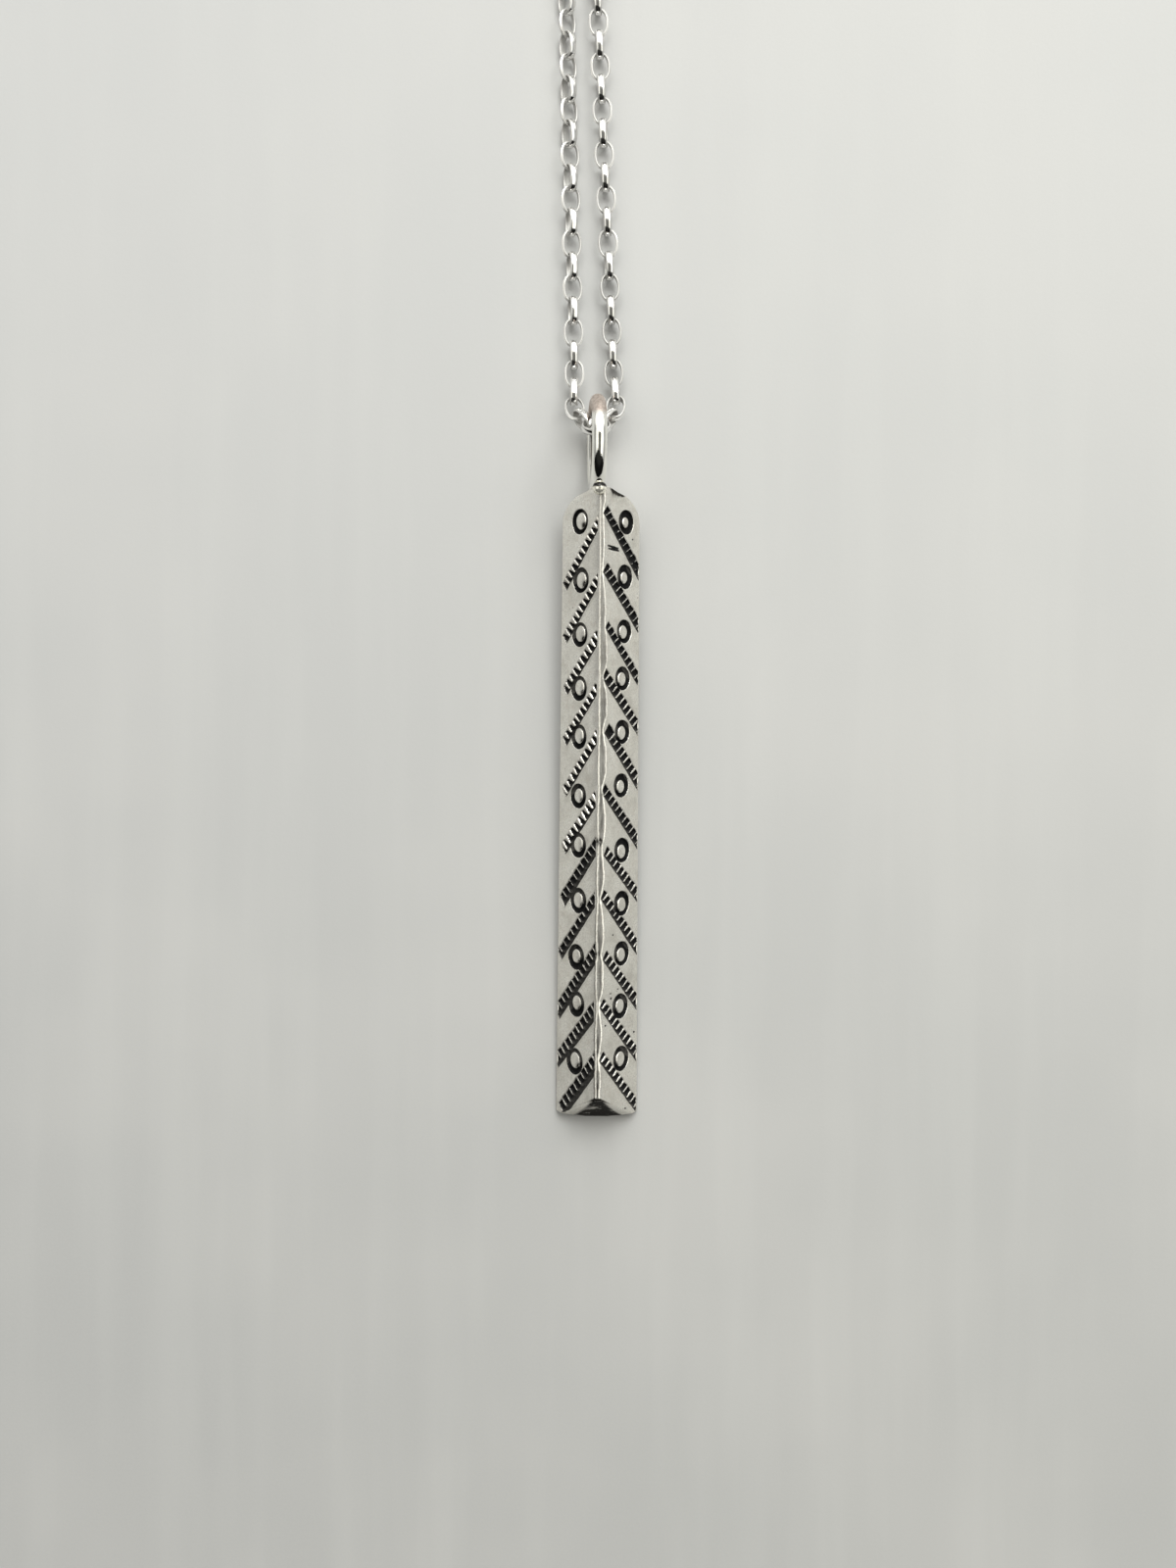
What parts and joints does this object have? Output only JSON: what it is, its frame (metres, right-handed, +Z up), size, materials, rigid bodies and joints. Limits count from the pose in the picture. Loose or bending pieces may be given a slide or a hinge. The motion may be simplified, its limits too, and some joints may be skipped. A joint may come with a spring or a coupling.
{
  "type": "triangular bar pendant necklace",
  "caption": "Long triangular bar pendant with hand-stamped chevrons, hung from a round soldered ring on an oval belcher chain that lies as one closed loop.",
  "frame": {"origin": "on the surface that the necklace lies on, under the middle of the whole box", "axes": "+Z up from the surface, +Y along the bar from its lower end to the chain, X across the bar"},
  "size_m": [0.1002, 0.2102, 0.008],
  "materials": {
    "pendant": "polished silver with blackened stamps",
    "chain": "bright polished silver",
    "clasp": "polished silver"
  },
  "bodies": {
    "root": {"pendant": "pendant", "chain": "chain", "clasp": "clasp"}
  },
  "joints": []
}
